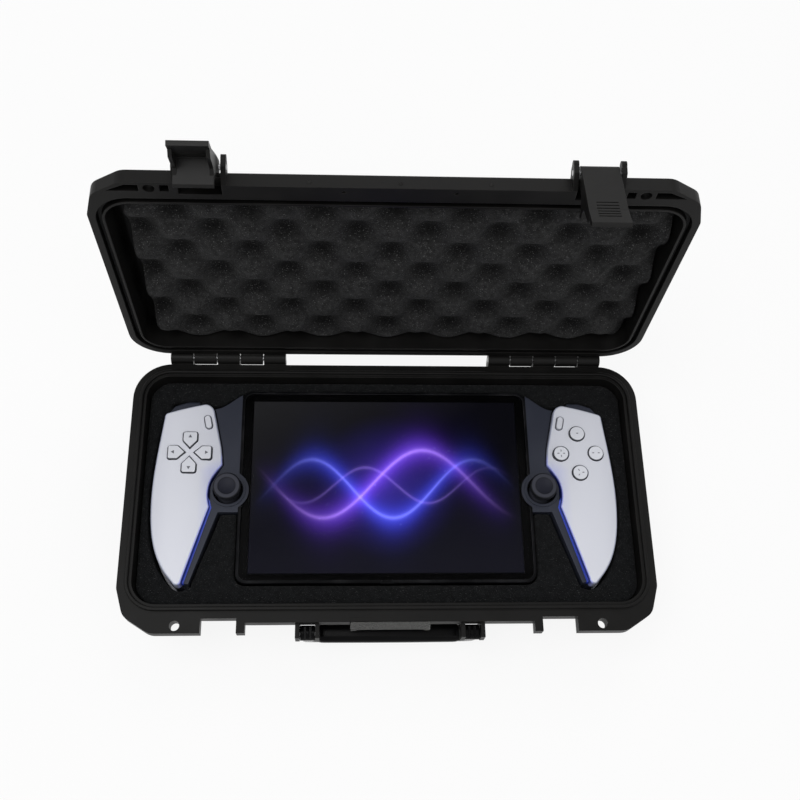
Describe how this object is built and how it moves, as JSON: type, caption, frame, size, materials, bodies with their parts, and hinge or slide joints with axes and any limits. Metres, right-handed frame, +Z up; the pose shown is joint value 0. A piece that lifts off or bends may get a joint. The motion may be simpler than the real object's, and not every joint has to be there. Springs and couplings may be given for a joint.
{
  "type": "portable game console case",
  "caption": "Hinged hard carry case with foam lining, snap latches and a folding handle, holding a handheld game console with grips and a wide screen.",
  "frame": {"origin": "middle of the base's flat underside", "axes": "+X along the case's length to the right, +Y to the back hinge, +Z up"},
  "size_m": [0.304, 0.2004, 0.2547],
  "materials": {
    "case_plastic": "satin moulded polypropylene with a fine grain",
    "handle_plastic": "smooth polished handle",
    "foam": "open-cell foam",
    "seal_rubber": "soft round cord",
    "pin_steel": "plain bright pin",
    "label_clear": "clear moulded strip",
    "grip_white": "smooth satin white",
    "frame_dark": "satin blue-black",
    "stick_rubber": "fine grained cap",
    "screen_glass": "flat polished glass",
    "display": "lit display",
    "board": "green circuit board",
    "cell": "wrapped cell",
    "strip_blue": "lit coloured strip",
    "key_clear": "clear-capped white key"
  },
  "bodies": {
    "base": {"base_shell": "case_plastic", "base_foam": "foam", "label_window": "label_clear", "handle_pin_left": "pin_steel", "handle_pin_right": "pin_steel", "hinge_pin_left": "pin_steel", "hinge_pin_right": "pin_steel", "tablet_back": "frame_dark", "tablet_frame": "frame_dark", "screen_glass": "screen_glass", "display_panel": "display", "main_board": "board", "battery": "cell", "grip_frame_left": "frame_dark", "grip_frame_right": "frame_dark", "grip_back_left": "grip_white", "grip_back_right": "grip_white", "grip_cover_left": "grip_white", "grip_cover_right": "grip_white", "light_strip_left": "strip_blue", "light_strip_right": "strip_blue", "trigger_pin_left": "pin_steel", "trigger_pin_right": "pin_steel"},
    "lid": {"lid_shell": "case_plastic", "lid_seal": "seal_rubber", "lid_foam": "foam", "latch_pin_left": "pin_steel", "latch_pin_right": "pin_steel"},
    "latch_left": {"latch_left": "case_plastic"},
    "latch_right": {"latch_right": "case_plastic"},
    "handle": {"handle": "handle_plastic"},
    "direction_key_up": {"direction_key_up": "key_clear"},
    "direction_key_down": {"direction_key_down": "key_clear"},
    "direction_key_left": {"direction_key_left": "key_clear"},
    "direction_key_right": {"direction_key_right": "key_clear"},
    "face_button_up": {"face_button_up": "key_clear"},
    "face_button_down": {"face_button_down": "key_clear"},
    "face_button_left": {"face_button_left": "key_clear"},
    "face_button_right": {"face_button_right": "key_clear"},
    "menu_button_left": {"menu_button_left": "key_clear"},
    "menu_button_right": {"menu_button_right": "key_clear"},
    "bumper_left": {"bumper_left": "frame_dark"},
    "bumper_right": {"bumper_right": "frame_dark"},
    "trigger_left": {"trigger_left": "frame_dark"},
    "stick_yoke_left": {"stick_yoke_left": "frame_dark"},
    "stick_left": {"stick_left": "stick_rubber"},
    "trigger_right": {"trigger_right": "frame_dark"},
    "stick_yoke_right": {"stick_yoke_right": "frame_dark"},
    "stick_right": {"stick_right": "stick_rubber"}
  },
  "joints": [
    {"name": "lid_hinge", "type": "hinge", "parent": "base", "child": "lid", "pos_m": [0, 0.0815, 0.05], "axis": [-1, 0, 0], "range_deg": [-93.7, 0]},
    {"name": "latch_left_hinge", "type": "hinge", "parent": "lid", "child": "latch_left", "pos_m": [-0.095, 0.10042, 0.21863], "axis": [-1, 0, 0], "range_deg": [-60, 75]},
    {"name": "latch_right_hinge", "type": "hinge", "parent": "lid", "child": "latch_right", "pos_m": [0.095, 0.10042, 0.21863], "axis": [-1, 0, 0], "range_deg": [-8, 127]},
    {"name": "handle_hinge", "type": "hinge", "parent": "base", "child": "handle", "pos_m": [0, -0.083, 0.0375], "axis": [-1, 0, 0], "range_deg": [0, 98]},
    {"name": "direction_up_press", "type": "slide", "parent": "base", "child": "direction_key_up", "axis": [0, 0, -1], "range_m": [0, 0.0008], "stiffness_N_per_m": 250},
    {"name": "direction_down_press", "type": "slide", "parent": "base", "child": "direction_key_down", "axis": [0, 0, -1], "range_m": [0, 0.0008], "stiffness_N_per_m": 250},
    {"name": "direction_left_press", "type": "slide", "parent": "base", "child": "direction_key_left", "axis": [0, 0, -1], "range_m": [0, 0.0008], "stiffness_N_per_m": 250},
    {"name": "direction_right_press", "type": "slide", "parent": "base", "child": "direction_key_right", "axis": [0, 0, -1], "range_m": [0, 0.0008], "stiffness_N_per_m": 250},
    {"name": "face_up_press", "type": "slide", "parent": "base", "child": "face_button_up", "axis": [0, 0, -1], "range_m": [0, 0.0008], "stiffness_N_per_m": 250},
    {"name": "face_down_press", "type": "slide", "parent": "base", "child": "face_button_down", "axis": [0, 0, -1], "range_m": [0, 0.0008], "stiffness_N_per_m": 250},
    {"name": "face_left_press", "type": "slide", "parent": "base", "child": "face_button_left", "axis": [0, 0, -1], "range_m": [0, 0.0008], "stiffness_N_per_m": 250},
    {"name": "face_right_press", "type": "slide", "parent": "base", "child": "face_button_right", "axis": [0, 0, -1], "range_m": [0, 0.0008], "stiffness_N_per_m": 250},
    {"name": "menu_left_press", "type": "slide", "parent": "base", "child": "menu_button_left", "axis": [0, 0, -1], "range_m": [0, 0.0006], "stiffness_N_per_m": 300},
    {"name": "menu_right_press", "type": "slide", "parent": "base", "child": "menu_button_right", "axis": [0, 0, -1], "range_m": [0, 0.0006], "stiffness_N_per_m": 300},
    {"name": "bumper_left_press", "type": "slide", "parent": "base", "child": "bumper_left", "axis": [0, -1, 0], "range_m": [0, 0.001], "stiffness_N_per_m": 400},
    {"name": "bumper_right_press", "type": "slide", "parent": "base", "child": "bumper_right", "axis": [0, -1, 0], "range_m": [0, 0.001], "stiffness_N_per_m": 400},
    {"name": "trigger_left_pull", "type": "hinge", "parent": "base", "child": "trigger_left", "pos_m": [-0.121, 0.0471, 0.0326], "axis": [-1, 0, 0], "range_deg": [0, 12], "stiffness_Nm_per_rad": 0.05},
    {"name": "stick_left_tilt_y", "type": "hinge", "parent": "base", "child": "stick_yoke_left", "pos_m": [-0.0937, -0.0013, 0.036], "axis": [1, 0, 0], "range_deg": [-13, 13], "stiffness_Nm_per_rad": 0.03},
    {"name": "stick_left_tilt_x", "type": "hinge", "parent": "stick_yoke_left", "child": "stick_left", "pos_m": [-0.0937, -0.0013, 0.036], "axis": [0, 1, 0], "range_deg": [-13, 13], "stiffness_Nm_per_rad": 0.03},
    {"name": "trigger_right_pull", "type": "hinge", "parent": "base", "child": "trigger_right", "pos_m": [0.118, 0.0471, 0.0326], "axis": [-1, 0, 0], "range_deg": [0, 12], "stiffness_Nm_per_rad": 0.05},
    {"name": "stick_right_tilt_y", "type": "hinge", "parent": "base", "child": "stick_yoke_right", "pos_m": [0.0907, -0.0013, 0.036], "axis": [1, 0, 0], "range_deg": [-13, 13], "stiffness_Nm_per_rad": 0.03},
    {"name": "stick_right_tilt_x", "type": "hinge", "parent": "stick_yoke_right", "child": "stick_right", "pos_m": [0.0907, -0.0013, 0.036], "axis": [0, 1, 0], "range_deg": [-13, 13], "stiffness_Nm_per_rad": 0.03}
  ]
}
